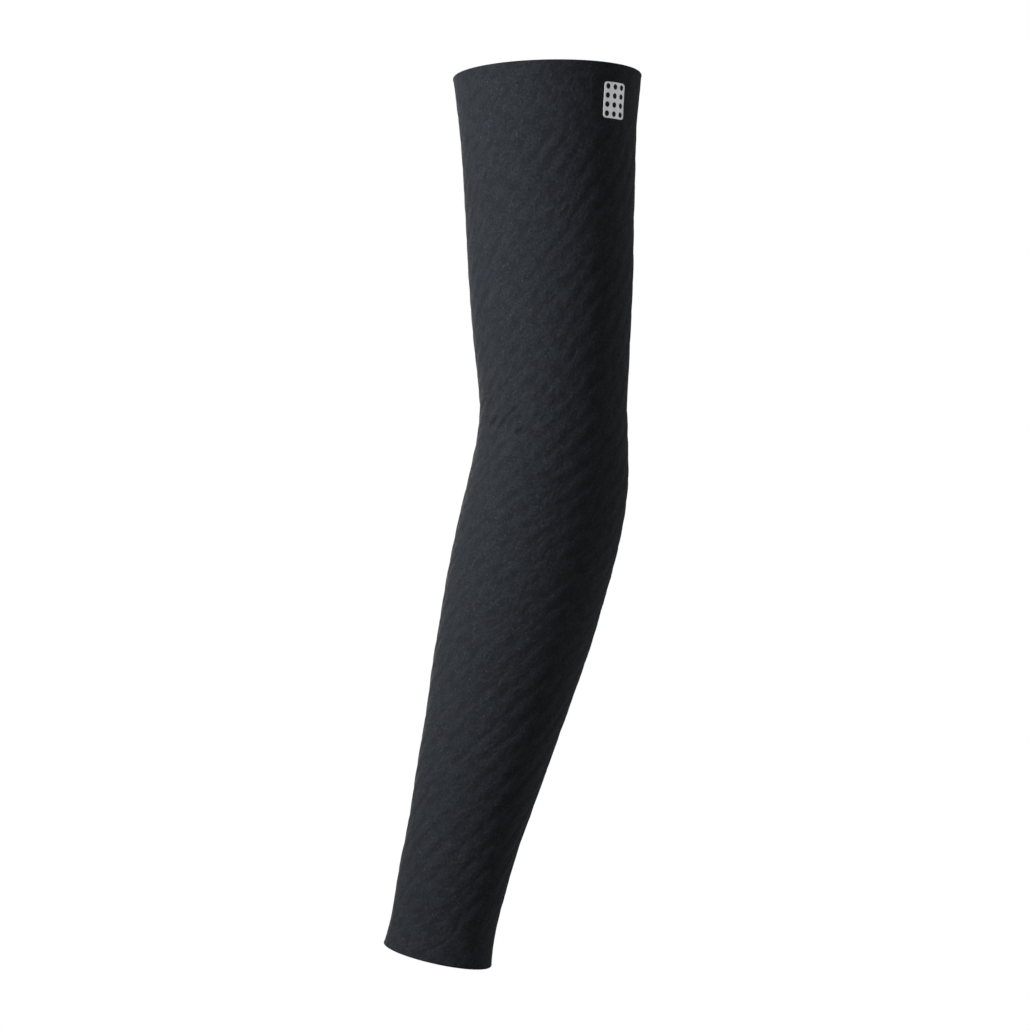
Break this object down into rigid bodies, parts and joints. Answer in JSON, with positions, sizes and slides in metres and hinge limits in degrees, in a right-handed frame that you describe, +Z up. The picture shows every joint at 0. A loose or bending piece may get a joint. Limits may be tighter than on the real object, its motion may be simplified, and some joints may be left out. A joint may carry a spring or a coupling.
{
  "type": "arm compression sleeve",
  "caption": "Dark knit compression sleeve in the form of a bent left arm, with slanting ribs, a plain band at each end and a small pierced reflective mark.",
  "frame": {"origin": "middle of the upper opening, in the plane of the upper rim", "axes": "+Z up to the shoulder, +X to the side of the elbow point, -Y out of the outer side of the arm, +Y to the body"},
  "size_m": [0.1216, 0.0856, 0.4209],
  "materials": {
    "ribbed_knit": "matt ribbed knit, charcoal with pale specks",
    "band_knit": "matt plain knit, charcoal with pale specks",
    "reflective_film": "satin heat-bonded film"
  },
  "bodies": {
    "root": {"sleeve_body": "ribbed_knit", "upper_band": "band_knit", "lower_band": "band_knit", "reflective_mark": "reflective_film"}
  },
  "joints": []
}
